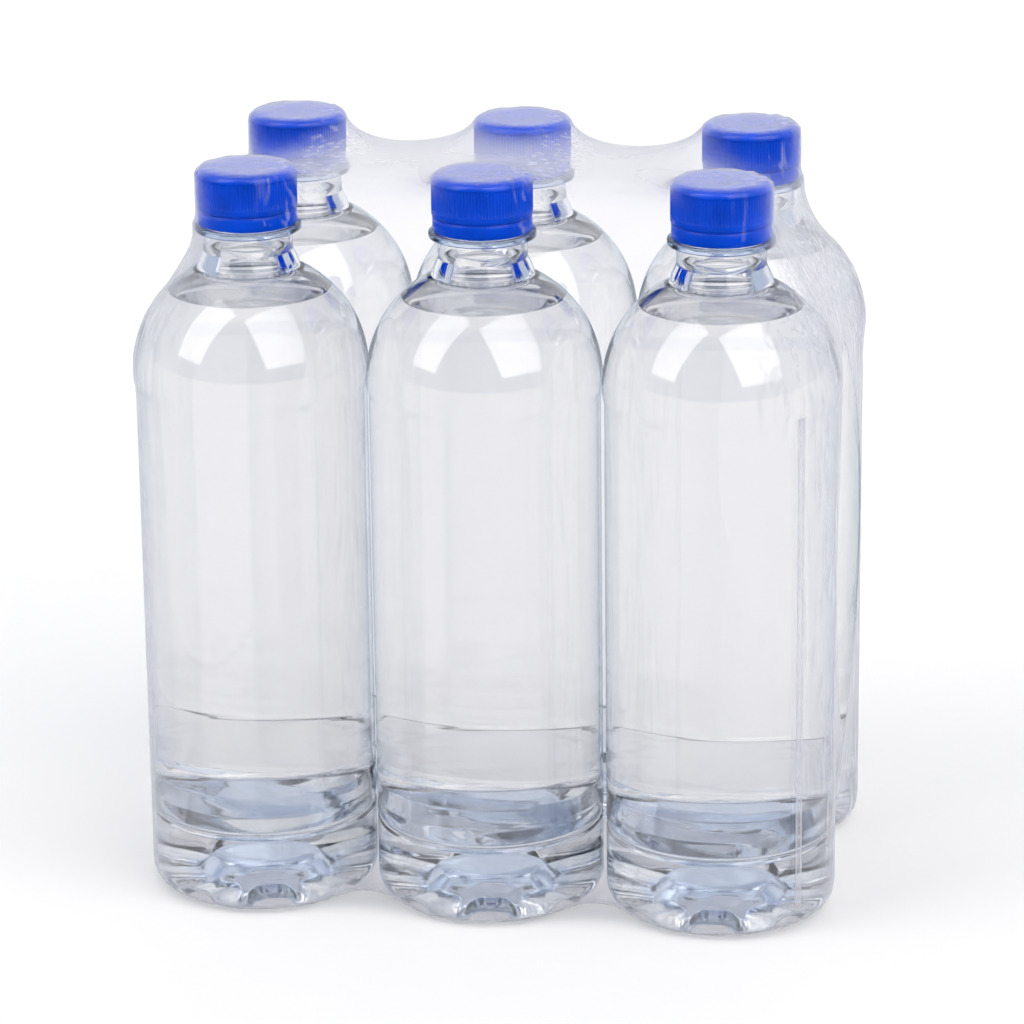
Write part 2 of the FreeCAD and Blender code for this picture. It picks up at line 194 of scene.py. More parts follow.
class CapSettings(bpy.types.PropertyGroup):
    """The screw cap, heights from its lower edge."""

    wall: length("Wall", 1.45, "Thickness of the skirt")
    plate: length("Plate", 1.4, "Thickness of the top")
    edge: length("Edge", 1.9, "Rounding of the top edge")
    band: length("Band", 4.0, "Height of the smooth tamper band")
    band_inset: length("Band inset", 0.25, "How much less the band's radius is")
    slit: length("Slit", 0.4, "Width of the break line")
    slit_depth: length("Slit depth", 0.6, "Depth of the break line")
    hem: length("Hem", 1.5, "Height of the smooth hem above the break line")
    rib_depth: length("Rib depth", 0.34, "Depth of the grooves between ribs")
    ribs: IntProperty(name="Ribs", description="Grip ribs round the skirt", default=96)
    blue: colour("Blue", "0048D0", "Dyed plastic")


class FilmSettings(bpy.types.PropertyGroup):
    """The shrunk sleeve."""

    wall: length("Wall", 0.08, "Thickness of the film")
    clearance: length("Clearance", 0.3, "From the bottles to the middle of the film")
    cell: length("Cell", 2.8, "Size of the film's mesh before its top is made finer")
    fine_above: length("Fine above", 150.0, "Height above which the mesh is made finer")
    rounds: IntProperty(name="Rounds", description="Rounds of shrinking", default=900)
    sag: length("Sag", 0.004, "How far each round of shrinking draws the web between caps down")
    fold: length("Fold", 0.55, "Height of the folds on the corner bottles")
    window_reach: length("Window reach", 33.0, "Half the width of the opening at each end")
    window_low: length("Window low", 36.0, "Height of the opening's lower point")
    window_high: length("Window high", 156.0, "Height of the opening's upper point")
    seam_width: length("Seam width", 2.3, "Width of the welded seam")
    seam_low: length("Seam low", 7.0, "Height of the seam's lower end above the foot")
    seam_high: length("Seam high", 149.0, "Height of the seam's upper end above the foot")
    seam_heading: angle("Seam heading", 48.0, "Turn from the front to the seam")
    milk: colour("Milk", "F0F0F5", "Haze in the film")


class StageSettings(bpy.types.PropertyGroup):
    """Camera and light."""

    azimuth: angle("Azimuth", 9.975, "Camera's turn from the front towards the right")
    elevation: angle("Elevation", 17.958, "Camera's height above the horizon")
    roll: angle("Roll", -0.735, "Camera's roll")
    distance: length("Distance", 1310.3, "From the camera to what it looks at")
    aim: length("Aim", 106.75, "Height that the camera looks at")
    lens: FloatProperty(name="Lens", description="Focal length in millimetres", default=161.6)
    shift_x: FloatProperty(name="Shift X", description="Sideways lens shift", default=0.005)
    shift_y: FloatProperty(name="Shift Y", description="Upright lens shift", default=-0.018)
    ring: colour("Ring", "B6C3D8", "Studio walls at the sides")
    dark: colour("Dark side", "8698B8", "Studio wall behind the camera")
    ceiling: share("Ceiling", 0.75, "Brightness overhead")
    backdrop: share("Backdrop", 1.0, "Brightness of the white sheet behind the pack")
    softbox: FloatProperty(name="Softbox", description="Brightness of a softbox", default=2.6)
    box_elevation: angle("Softbox elevation", 42.0, "A softbox's height above the horizon")
    box_half_high: angle("Softbox half-height", 28.0, "Half a softbox's height, from the pack")
    paper: colour("Paper", "FAF7F3", "Floor")
    floor: length("Floor", 20000.0, "Half the width of the floor")


# ------------------------------------------------------------------ mesh helpers


def ease(t):
    """Rises from 0 to 1 with level ends."""
    return t * t * (3 - 2 * t)


def ramp(value, low, high):
    """0 up to low, 1 from high on, and straight in between."""
    return min(max((value - low) / (high - low), 0.0), 1.0)


def arc(centre, radius, begin, end, steps):
    """Points of an arc from one angle to another, both included, in degrees."""
    turns = [math.radians(begin + (end - begin) * i / steps) for i in range(steps + 1)]
    return [(centre[0] + radius * math.cos(t), centre[1] + radius * math.sin(t)) for t in turns]


def turn(bm, outline, segments, insets=None):
    """Spins an outline of (radius, height) points about Z.

    insets gives, for each point, how far inside the piece's outer form it is.
    """
    depth = bm.verts.layers.float.new("inset")
    points = [bm.verts.new((max(radius, 0.0), 0.0, height)) for radius, height in outline]
    for point, inset in zip(points, insets or [0.0] * len(points)):
        point[depth] = inset
    edges = [bm.edges.new(pair) for pair in zip(points, points[1:])]
    bmesh.ops.spin(
        bm,
        geom=points + edges,
        cent=(0, 0, 0),
        axis=(0, 0, 1),
        angle=2 * math.pi,
        steps=segments,
        use_merge=True,
    )
    bmesh.ops.remove_doubles(bm, verts=bm.verts, dist=1e-7)


def finish_piece(name, bm, material, nodes):
    """Turns a bmesh into a smooth piece of the pack that stands for CAD nodes."""
    bmesh.ops.recalc_face_normals(bm, faces=bm.faces)
    mesh = bpy.data.meshes.new(name)
    bm.to_mesh(mesh)
    bm.free()
    mesh.polygons.foreach_set("use_smooth", [True] * len(mesh.polygons))
    mesh.materials.append(material)
    piece = bpy.data.objects.new(name, mesh)
    bpy.context.collection.objects.link(piece)
    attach(piece, "root")
    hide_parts(*nodes)
    return piece


def stand_six(first, name, node, material, height=0.0):
    """Stands a copy of a piece in each of the six places, turned as its bottle is."""
    for place in PLACES:
        spin = Matrix.Rotation(math.radians(TURNS[place]), 4, "Z")
        move = Matrix.Translation(stand(place) + Vector((0, 0, height)))
        bm = first.copy()
        bmesh.ops.transform(bm, matrix=move @ spin, verts=bm.verts)
        finish_piece(f"{name}_{place}", bm, material, [f"{node}_{place}"])
    first.free()


# ------------------------------------------------------------------ materials


def add_node(tree, kind, inputs=(), **settings):
    """Adds a node, sets its settings, and feeds (input, socket or value) pairs into it."""
    node = tree.nodes.new(kind)
    for name, value in settings.items():
        if hasattr(node, name):
            setattr(node, name, value)
        else:
            node.inputs[name.replace("_", " ")].default_value = value
    for key, source in inputs:
        if isinstance(source, bpy.types.NodeSocket):
            tree.links.new(source, node.inputs[key])
        else:
            node.inputs[key].default_value = source
    return node


def new_material(name):
    """An empty node material and its tree."""
    material = bpy.data.materials.new(name)
    material.use_nodes = True
    material.node_tree.nodes.clear()
    return material, material.node_tree


def grey(level):
    """A grey with its alpha, as colour sockets take it."""
    return (level, level, level, 1)


def close_glass(tree, glass, shade):
    """Lets light through clear plastic or water to the floor, less a little at each face."""
    path = add_node(tree, "ShaderNodeLightPath")
    through = add_node(tree, "ShaderNodeBsdfTransparent", Color=grey(shade))
    veiled = add_node(
        tree,
        "ShaderNodeMath",
        [(0, path.outputs["Is Shadow Ray"]), (1, path.outputs["Is Diffuse Ray"])],
        operation="MAXIMUM",
    )
    mix = add_node(
        tree,
        "ShaderNodeMixShader",
        [(0, veiled.outputs[0]), (1, glass.outputs[0]), (2, through.outputs[0])],
    )
    add_node(tree, "ShaderNodeOutputMaterial", [("Surface", mix.outputs[0])])


def make_pet(settings):
    """Blow-moulded PET: water-clear, glossy, faintly blue along the wall and darkened there as
    painted shade, slightly wavy.
    """
    material, tree = new_material("Blow-moulded PET")
    place = add_node(tree, "ShaderNodeTexCoord")
    # Blowing leaves the wall uneven over about 12 mm, which bends what shows through it
    waves = add_node(
        tree,
        "ShaderNodeTexNoise",
        [("Vector", place.outputs["Object"])],
        Scale=1 / (12 * MM),
        Detail=0.0,
    )
    bump = add_node(
        tree,
        "ShaderNodeBump",
        [("Height", waves.outputs["Fac"])],
        Strength=0.25,
        Distance=0.06 * MM,
    )
    # Along the wall the eye looks through more plastic, which tints it faint blue; the tint is made
    # dark enough to paint the shade that the edges show
    facing = add_node(tree, "ShaderNodeLayerWeight", Blend=0.5)
    steep = add_node(
        tree, "ShaderNodeMath", [(0, facing.outputs["Facing"]), (1, 4.0)], operation="POWER"
    )
    tint_and_edge_shade = add_node(
        tree,
        "ShaderNodeMix",
        [("Factor", steep.outputs[0]), (6, (*settings.clear, 1)), (7, (*settings.edge, 1))],
        data_type="RGBA",
    )
    # Thick plastic colours what shows through it
    middle = add_node(tree, "ShaderNodeAttribute", attribute_name="thick")
    body = add_node(
        tree,
        "ShaderNodeMix",
        [("Factor", middle.outputs["Fac"]), (6, tint_and_edge_shade.outputs[2]), (7, (*settings.thick, 1))],
        data_type="RGBA",
    )
    glass = add_node(
        tree,
        "ShaderNodeBsdfGlass",
        [("Color", body.outputs[2]), ("Normal", bump.outputs[0])],
        IOR=1.575,
        Roughness=0.0,
    )
    close_glass(tree, glass, settings.shade)
    return material


def make_water_material(settings):
    """Still water: clear, with the slightest ripple where it was last moved."""
    material, tree = new_material("Still drinking water")
    place = add_node(tree, "ShaderNodeTexCoord")
    # Ripples about 18 mm long
    ripple = add_node(
        tree,
        "ShaderNodeTexNoise",
        [("Vector", place.outputs["Object"])],
        Scale=1 / (18 * MM),
        Detail=0.0,
    )
    bump = add_node(
        tree,
        "ShaderNodeBump",
        [("Height", ripple.outputs["Fac"])],
        Strength=0.2,
        Distance=0.08 * MM,
    )
    glass = add_node(
        tree,
        "ShaderNodeBsdfGlass",
        [("Normal", bump.outputs[0])],
        IOR=1.333,
        Roughness=0.0,
        Color=(*settings.clear, 1),
    )
    close_glass(tree, glass, settings.shade)
    return material


def make_cap_material(settings):
    """Injection-moulded HDPE, dyed through: satin, with a fine grain from the mould."""
    material, tree = new_material("Injection-moulded blue HDPE")
    place = add_node(tree, "ShaderNodeTexCoord")
    # Mould grain of about 0.4 mm, drawn at 0.8 mm so that it shows
    grain = add_node(
        tree,
        "ShaderNodeTexNoise",
        [("Vector", place.outputs["Object"])],
        Scale=1 / (0.8 * MM),
        Detail=3.0,
    )
    bump = add_node(
        tree,
        "ShaderNodeBump",
        [("Height", grain.outputs["Fac"])],
        Strength=0.15,
        Distance=0.05 * MM,
    )
    # The dye and the gloss drift over about 7 mm
    cloud = add_node(
        tree,
        "ShaderNodeTexNoise",
        [("Vector", place.outputs["Object"])],
        Scale=1 / (7 * MM),
        Detail=2.0,
    )
    rough = add_node(
        tree, "ShaderNodeMapRange", [("Value", cloud.outputs["Fac"])], To_Min=0.16, To_Max=0.26
    )
    weak, strong = ([min(k * c, 1) for c in settings.blue] for k in (0.72, 1.25))
    dye = add_node(
        tree,
        "ShaderNodeMix",
        [("Factor", cloud.outputs["Fac"]), (6, (*weak, 1)), (7, (*strong, 1))],
        data_type="RGBA",
    )
    # The mould is polished for the top and its rounding only
    slope = add_node(tree, "ShaderNodeSeparateXYZ", [(0, place.outputs["Normal"])])
    polish = add_node(
        tree,
        "ShaderNodeMapRange",
        [("Value", slope.outputs["Z"])],
        From_Min=0.15,
        From_Max=0.55,
        To_Min=0.03,
        To_Max=0.5,
    )
    shell = add_node(
        tree,
        "ShaderNodeBsdfPrincipled",
        [
            ("Base Color", dye.outputs[2]),
            ("Roughness", rough.outputs[0]),
            ("Specular IOR Level", polish.outputs[0]),
            ("Normal", bump.outputs[0]),
        ],
        IOR=1.54,
    )
    add_node(tree, "ShaderNodeOutputMaterial", [("Surface", shell.outputs[0])])
    return material


def make_film_material(settings):
    """Shrunk LDPE film: clear where tight, glossy, milky where it is seen along its surface."""
    material, tree = new_material("Shrunk LDPE film")
    place = add_node(tree, "ShaderNodeTexCoord")
    # Creases run up and down, so the pattern is drawn out ten times along Z
    stretch = add_node(
        tree, "ShaderNodeMapping", [("Vector", place.outputs["Object"]), ("Scale", (1, 1, 0.1))]
    )
    creases = add_node(
        tree,
        "ShaderNodeTexNoise",
        [("Vector", stretch.outputs[0])],
        Scale=1 / (3 * MM),
        Detail=1.0,
    )
    bump = add_node(
        tree,
        "ShaderNodeBump",
        [("Height", creases.outputs["Fac"])],
        Strength=0.2,
        Distance=0.15 * MM,
    )
    facing = add_node(tree, "ShaderNodeLayerWeight", [("Normal", bump.outputs[0])], Blend=0.5)
    steep = add_node(
        tree, "ShaderNodeMath", [(0, facing.outputs["Facing"]), (1, 3.0)], operation="POWER"
    )
    haze = add_node(
        tree, "ShaderNodeMapRange", [("Value", steep.outputs[0])], To_Min=0.001, To_Max=0.7
    )
    # White streaks about 2 mm wide where the film was gathered, partly its real milkiness and
    # partly painted highlights along the folds, and the doubled film of the seam
    streak = add_node(
        tree,
        "ShaderNodeTexNoise",
        [("Vector", stretch.outputs[0])],
        Scale=1 / (2.2 * MM),
        Detail=1.0,
    )
    thin = add_node(
        tree,
        "ShaderNodeMapRange",
        [("Value", streak.outputs["Fac"])],
        From_Min=0.54,
        From_Max=0.68,
        To_Min=0.0,
        To_Max=0.28,
    )
    gather_and_highlight = add_node(tree, "ShaderNodeAttribute", attribute_name="gather_and_highlight")
    white = add_node(
        tree,
        "ShaderNodeMath",
        [(0, thin.outputs[0]), (1, gather_and_highlight.outputs["Fac"])],
        operation="MULTIPLY",
    )
    seam = add_node(tree, "ShaderNodeAttribute", attribute_name="seam")
    more = add_node(
        tree, "ShaderNodeMath", [(0, white.outputs[0]), (1, seam.outputs["Fac"])], operation="ADD"
    )
    milky = add_node(
        tree,
        "ShaderNodeMath",
        [(0, haze.outputs[0]), (1, more.outputs[0])],
        operation="ADD",
        use_clamp=True,
    )
    clear = add_node(tree, "ShaderNodeBsdfTransparent", Color=(0.985, 0.985, 0.99, 1))
    milk = add_node(tree, "ShaderNodeBsdfDiffuse", Color=(*settings.milk, 1))
    glow = add_node(tree, "ShaderNodeBsdfTranslucent", Color=(*settings.milk, 1))
    cloud = add_node(
        tree, "ShaderNodeMixShader", [(1, milk.outputs[0]), (2, glow.outputs[0])], Fac=0.5
    )
    veil = add_node(
        tree,
        "ShaderNodeMixShader",
        [(0, milky.outputs[0]), (1, clear.outputs[0]), (2, cloud.outputs[0])],
    )
    # Reflection at either face, the same from both sides, as the film is too thin to bend light
    grazing = add_node(
        tree, "ShaderNodeMath", [(0, facing.outputs["Facing"]), (1, 5.0)], operation="POWER"
    )
    mirror = add_node(
        tree, "ShaderNodeMapRange", [("Value", grazing.outputs[0])], To_Min=0.002, To_Max=0.6
    )
    shine = add_node(tree, "ShaderNodeBsdfGlossy", [("Normal", bump.outputs[0])], Roughness=0.12)
    film = add_node(
        tree,
        "ShaderNodeMixShader",
        [(0, mirror.outputs[0]), (1, veil.outputs[0]), (2, shine.outputs[0])],
    )
    add_node(tree, "ShaderNodeOutputMaterial", [("Surface", film.outputs[0])])
    return material


# ------------------------------------------------------------------ bottles


def dome_join(sizes):
    """Height of the dome's centre, height where the neck starts, and the angle of the join."""
    dome_base = sizes.panel_top + sizes.bead_rise + sizes.bead_height
    across = sizes.neck_radius + sizes.neck_fillet
    reach = BOTTLE_RADIUS + sizes.neck_fillet
    rise = math.sqrt(reach**2 - across**2)
    return dome_base, dome_base + rise, math.degrees(math.atan2(rise, across))


def bottle_outline(sizes, inset):
    """The bottle's form drawn in by inset: base, foot, heel, ringed panel, bead and dome."""
    panel = BOTTLE_RADIUS - sizes.bead_depth
    heel_centre = panel - sizes.heel
    foot_inner = heel_centre - sizes.foot_width
    skirt_height = 0.18 * sizes.pushup_height
    dome_base, _, join = dome_join(sizes)
    outline = [(sizes.pushup_radius * k / 3, sizes.pushup_height + inset) for k in range(3)]
    for i in range(10):
        # A soft S from the raised disc down its side
        t = i / 9
        radius = sizes.pushup_radius + (sizes.pushup_skirt - sizes.pushup_radius) * t
        fall = (sizes.pushup_height - skirt_height) * (0.6 * ease(t) + 0.4 * t)
        outline.append((radius, sizes.pushup_height - fall + inset))
    for t in (0.35, 0.7, 1.0):
        radius = sizes.pushup_skirt + (foot_inner - sizes.pushup_skirt) * t
        outline.append((radius, skirt_height * (1 - t) ** 1.5 + inset))
    outline.append((heel_centre - sizes.foot_width / 2, inset))
    outline += arc((heel_centre, sizes.heel), sizes.heel - inset, -90, 0, 12)
    for i in range(sizes.grooves):
        middle = sizes.groove_low + sizes.groove_span * i / (sizes.grooves - 1)
        deepest = sizes.groove_faint if i else sizes.groove_depth
        for k in range(-4, 5):
            depth = deepest * (0.5 + 0.5 * math.cos(math.pi * k / 4))
            outline.append((panel - inset - depth, middle + sizes.groove_width / 2 * k / 4))
    # Levels that keep the faces of the tall panel short
    outline += [(panel - inset, height * MM) for height in (60, 90, 120)]
    for i in range(7):
        t = i / 6
        radius = panel - inset + sizes.bead_depth * ease(t)
        outline.append((radius, sizes.panel_top + sizes.bead_rise * t))
    return outline + arc((0, dome_base), BOTTLE_RADIUS - inset, 0, join, 28)


def press_foot(bm, sizes):
    """Presses round hollows into the foot, between the feet that the bottle stands on."""
    depth = bm.verts.layers.float["inset"]
    pitch = 2 * math.pi / sizes.notches
    half = sizes.notch_width / 2
    # The heel is drawn up with the hollows as far as this height
    top = 1.5 * sizes.notch_height
    heel_centre = BOTTLE_RADIUS - sizes.bead_depth - sizes.heel
    corner = 0.6 * MM
    for v in bm.verts:
        inset = v[depth]
        height = v.co.z - inset
        radius = math.hypot(v.co.x, v.co.y)
        if height >= top or radius < sizes.pushup_radius:
            continue
        heading = math.atan2(v.co.y, v.co.x) + math.pi / 2
        off = (heading + pitch / 2) % pitch - pitch / 2
        side = abs(radius * math.sin(off)) / half
        if side >= 1:
            continue
        hollow = sizes.notch_height * (1 - side**4) ** 1.25
        if radius > heel_centre:
            raised = hollow + height * (top - hollow) / top
        else:
            # The larger of the two heights, with a soft corner
            gap = hollow - height
            raised = height + (gap + math.sqrt(gap * gap + corner * corner)) / 2
            raised -= corner / 2 * (1 - side)
        v.co.z = max(raised, height) + inset


def blow_bottle(sizes):
    """One bottle standing at the origin: both sides of the wall, ledge and mouth."""
    neck_base, join = dome_join(sizes)[1:]
    ledge_top = CAP_BASE - sizes.cap_clearance
    ledge_base = ledge_top - sizes.ledge_thick
    neck = sizes.neck_radius
    reach = neck + sizes.ledge_reach
    bore = neck - sizes.neck_wall
    hollow = sizes.neck_fillet
    root = 0.8 * MM
    soft = 0.5 * MM
    lip = 0.25 * sizes.neck_wall
    outside = bottle_outline(sizes, 0.0)
    outside += arc((neck + hollow, neck_base), hollow, 180 + join, 180, 6)[1:]
    outside += [(neck, neck_base + 3 * MM), (neck, ledge_base - 1.5 * root)]
    outside += arc((neck + root, ledge_base - root), root, 180, 90, 3)
    outside += arc((reach - soft, ledge_base + soft), soft, -90, 0, 3)
    outside += arc((reach - soft, ledge_top - soft), soft, 0, 90, 3)
    outside += [(neck, ledge_top), (neck, MOUTH_HEIGHT - lip), (neck - lip, MOUTH_HEIGHT)]
    # The blown wall thickens over the last of the dome into the moulded neck
    inside = bottle_outline(sizes, sizes.wall)
    radius, height = inside[-1]
    rise = neck_base + 4 * MM - height
    for i in range(1, 9):
        t = i / 8
        inside.append((radius + (bore - radius) * ease(t), height + rise * t))
    inside += [(bore, ledge_base), (bore, MOUTH_HEIGHT - lip), (bore + lip, MOUTH_HEIGHT)]
    insets = [0.0] * len(outside) + [sizes.wall] * len(inside)
    bm = bmesh.new()
    turn(bm, outside + inside[::-1], ROUND, insets)
    press_foot(bm, sizes)
    # The middle of the base and the support ledge aren't blown thin
    thick = bm.verts.layers.float.new("thick")
    for v in bm.verts:
        radius = math.hypot(v.co.x, v.co.y)
        if v.co.z < sizes.pushup_height + MM:
            away = ramp(radius, sizes.pushup_skirt - MM, sizes.pushup_skirt + 2 * MM)
            v[thick] = 0.4 * (1 - away)
        elif v.co.z > ledge_base - MM and radius > neck + MM:
            v[thick] = 1.0
    return bm


# ------------------------------------------------------------------ water


def pour_water(sizes, water):
    """The filling of one bottle, reaching a little into the wall, with a meniscus."""
    inset = sizes.wall - water.reach
    dome_base = dome_join(sizes)[0]
    climb = WATER_HEIGHT + water.meniscus
    outline = [p for p in bottle_outline(sizes, inset) if p[1] < climb - 0.3 * MM]
    rim = math.sqrt((BOTTLE_RADIUS - inset) ** 2 - (climb - dome_base) ** 2)
    outline.append((rim, climb))
    width = 3.2 * water.meniscus
    for i in range(1, 10):
        t = i / 9
        outline.append((rim - width * t, WATER_HEIGHT + water.meniscus * (1 - t) ** 3))
    outline += [(rim / 2, WATER_HEIGHT), (0, WATER_HEIGHT)]
    bm = bmesh.new()
    turn(bm, outline, ROUND, [inset] * len(outline))
    press_foot(bm, sizes)
    return bm


# ------------------------------------------------------------------ caps


def mould_cap(cap):
    """One cap standing at the origin: plate, ribbed skirt, hem, break line and band."""
    soft = 0.15 * MM
    blunt = 0.25 * MM
    hem_low = cap.band + cap.slit
    hem_top = hem_low + cap.hem
    band = CAP_RADIUS - cap.band_inset
    slit = CAP_RADIUS - cap.slit_depth
    edge_base = CAP_HEIGHT - cap.edge
    bore = CAP_RADIUS - cap.wall
    # A dimple in the middle of the top, where the plastic came in
    gate = 1.3 * MM
    outline = [(0, CAP_HEIGHT - blunt), (gate, CAP_HEIGHT - blunt)]
    outline += [(gate + 2 * soft, CAP_HEIGHT - soft / 3), (CAP_RADIUS / 2, CAP_HEIGHT)]
    outline += arc((CAP_RADIUS - cap.edge, edge_base), cap.edge, 90, 0, 8)
    rib_top = edge_base - 0.1 * MM
    rib_low = hem_top + soft
    levels = [rib_top, rib_top - 3 * soft, (rib_top + rib_low) / 2, rib_low + blunt, rib_low]
    outline += [(CAP_RADIUS, height) for height in levels]
    outline += [(CAP_RADIUS, hem_top), (CAP_RADIUS, hem_low + soft)]
    outline += [(CAP_RADIUS - soft, hem_low), (slit, hem_low), (slit, cap.band)]
    outline += [(band - soft, cap.band), (band, cap.band - soft), (band, blunt)]
    outline += [(band - blunt, 0), (bore, 0)]
    outline += [(bore, CAP_HEIGHT - cap.plate), (0, CAP_HEIGHT - cap.plate)]
    bm = bmesh.new()
    turn(bm, outline, 4 * cap.ribs)
    for v in bm.verts:
        radius = math.hypot(v.co.x, v.co.y)
        if radius < CAP_RADIUS - 0.01 * MM or not rib_low < v.co.z < rib_top:
            continue
        phase = math.atan2(v.co.y, v.co.x) * cap.ribs
        depth = cap.rib_depth * (0.5 - 0.5 * math.cos(phase))
        v.co.xy *= (radius - depth) / radius
    return bm


# ------------------------------------------------------------------ film


def tight_outline(sizes, cap):
    """Outside radius of a capped bottle over its height, which the film lies on."""
    ledge_top = CAP_BASE - sizes.cap_clearance
    ledge_base = ledge_top - sizes.ledge_thick
    panel = BOTTLE_RADIUS - sizes.bead_depth
    reach = sizes.neck_radius + sizes.ledge_reach
    dome_base, neck_base, join = dome_join(sizes)
    points = [(panel - sizes.heel, 0.0)]
    points += arc((panel - sizes.heel, sizes.heel), sizes.heel, -85, 0, 10)
    points += [(panel, sizes.panel_top), (BOTTLE_RADIUS, sizes.panel_top + sizes.bead_rise)]
    points += arc((0, dome_base), BOTTLE_RADIUS, 0, join, 24)
    points += [(sizes.neck_radius, neck_base), (sizes.neck_radius, ledge_base - 0.5 * MM)]
    points += [(reach, ledge_base), (reach, ledge_top)]
    points += [(CAP_RADIUS - cap.band_inset, CAP_BASE), (CAP_RADIUS, CAP_BASE + cap.band + MM)]
    points += arc((CAP_RADIUS - cap.edge, CAP_BASE + CAP_HEIGHT - cap.edge), cap.edge, 0, 80, 5)
    radii, heights = (np.array(column) for column in zip(*points))
    return radii, heights + FOOT


def push_out(points, axes, outline, clearance):
    """Moves points that are inside a capped bottle to just outside it."""
    radii, heights = outline
    offset = points[:, None, :2] - axes[None, :, :]
    apart = np.hypot(offset[..., 0], offset[..., 1])
    nearest = apart.argmin(axis=1)
    row = np.arange(len(points))
    apart = apart[row, nearest]
    outward = offset[row, nearest] / np.maximum(apart, 1e-9)[:, None]
    height = points[:, 2]
    radius = np.interp(height, heights, radii)
    step = 0.3 * MM
    above = np.interp(height + step, heights, radii)
    below = np.interp(height - step, heights, radii)
    slope = np.clip((above - below) / (2 * step), -4, 4)
    lean = np.sqrt(1 + slope**2)
    depth = (radius - apart) / lean + clearance
    top = CAP_HIGH.z
    inside = (depth > 0) & (height < top + clearance) & (height > FOOT)
    shift = np.where(inside, depth, 0)[:, None]
    points[:, :2] += shift * outward / lean[:, None]
    points[:, 2] -= shift[:, 0] * slope / lean
    # Over a cap's plate the film goes straight up
    plate = CAP_RADIUS - 1.5 * MM
    over = (apart < plate) & (height > top - 6 * MM)
    points[over, 2] = np.maximum(points[over, 2], top + clearance)
    return points


def neighbour_table(bm):
    """Each vertex's neighbours as a padded table, with how many there are."""
    bm.verts.ensure_lookup_table()
    rows = [[e.other_vert(v).index for e in v.link_edges] for v in bm.verts]
    widest = max(len(r) for r in rows)
    table = np.array([r + [i] * (widest - len(r)) for i, r in enumerate(rows)])
    counts = np.array([len(r) for r in rows], float)
    return table, counts, widest


def shrink(bm, axes, outline, clearance, rounds, sag):
    """Draws the film tight over the bottles, as heat does, with the openings' edges held.

    sag is how far each round draws the web between the caps down.
    """
    bm.verts.index_update()
    points = np.array([v.co for v in bm.verts])
    table, counts, widest = neighbour_table(bm)
    edge = np.array([v.is_boundary for v in bm.verts])
    home = points.copy()
    spare = (widest - counts)[:, None]
    lowest = points[:, 2].min()
    for _ in range(rounds):
        middle = (points[table].sum(axis=1) - spare * points) / counts[:, None]
        points += 0.8 * (middle - points)
        points[points[:, 2] > WEB, 2] -= sag
        points[edge, 1:] = home[edge, 1:]
        points[:, 2] = np.maximum(points[:, 2], lowest)
        points = push_out(points, axes, outline, clearance)
    for v, p in zip(bm.verts, points):
        v.co = p


def film_box(film, half):
    """A closed box round the pack in square cells, with a slit in each end opened to a point."""
    bm = bmesh.new()
    bmesh.ops.create_cube(bm, size=1.0)
    low = FILM_LOW.z + film.wall
    high = CAP_HIGH.z + film.clearance
    size = Vector((2 * half.x, 2 * half.y, high - low))
    middle = Vector((0, 0, (high + low) / 2))
    bmesh.ops.transform(
        bm, matrix=Matrix.Translation(middle) @ Matrix.Diagonal((*size, 1)), verts=bm.verts
    )
    for axis in range(3):
        along = [
            e for e in bm.edges if abs((e.verts[0].co - e.verts[1].co)[axis]) > size[axis] / 2
        ]
        cells = 2 * round(size[axis] / film.cell / 2)
        bmesh.ops.subdivide_edges(bm, edges=along, cuts=cells - 1, use_grid_fill=True)
    slit = [
        e
        for e in bm.edges
        if all(
            abs(v.co.y) < TINY
            and abs(v.co.x) > half.x - TINY
            and film.window_low < v.co.z < film.window_high
            for v in e.verts
        )
    ]
    bmesh.ops.split_edges(bm, edges=slit)
    open_window(bm, film, half)
    return bm


def open_window(bm, film, half):
    """Spreads both slits to the pointed shape that a sleeve's ends shrink to."""
    middle = (film.window_high + film.window_low) / 2
    reach = (film.window_high - film.window_low) / 2
    for v in bm.verts:
        if abs(v.co.x) < half.x - TINY:
            continue
        away = (v.co.z - middle) / reach
        if abs(away) >= 1:
            continue
        width = film.window_reach * (1 - away * away)
        side = math.copysign(1, sum(f.calc_center_median().y for f in v.link_faces))
        v.co.y = side * (width + abs(v.co.y) * (1 - width / half.y))


def crease(bm, axes, fold):
    """Lifts fine folds down the shoulders of the corner bottles."""
    bm.normal_update()
    rng = np.random.default_rng(7)
    waves = [
        (rng.integers(24, 60), rng.uniform(0, 2 * math.pi), rng.uniform(0.5, 1))
        for _ in range(5)
    ]
    corners = [a for a in axes if abs(a[0]) > MM]
    for v in bm.verts:
        if v.is_boundary or abs(v.co.x) < BOTTLE_RADIUS:
            continue
        offsets = [(v.co.x - a[0], v.co.y - a[1]) for a in corners]
        x, y = min(offsets, key=lambda offset: offset[0] ** 2 + offset[1] ** 2)
        outward = x * math.copysign(1, v.co.x) / BOTTLE_RADIUS
        if outward < 0.1:
            continue
        heading = math.atan2(y, x)
        # 0 at the middle of the panel and 1 at the neck, with most folds over the shoulder
        height = (v.co.z - 120 * MM) / (75 * MM)
        mask = max(0.0, 1 - abs(height - 0.55) * 1.9) * min(1.0, outward * 1.5)
        lift = sum(w * math.cos(n * heading + p + 2.5 * height) for n, p, w in waves)
        v.co += v.normal * mask * fold * max(lift / len(waves), -0.3)


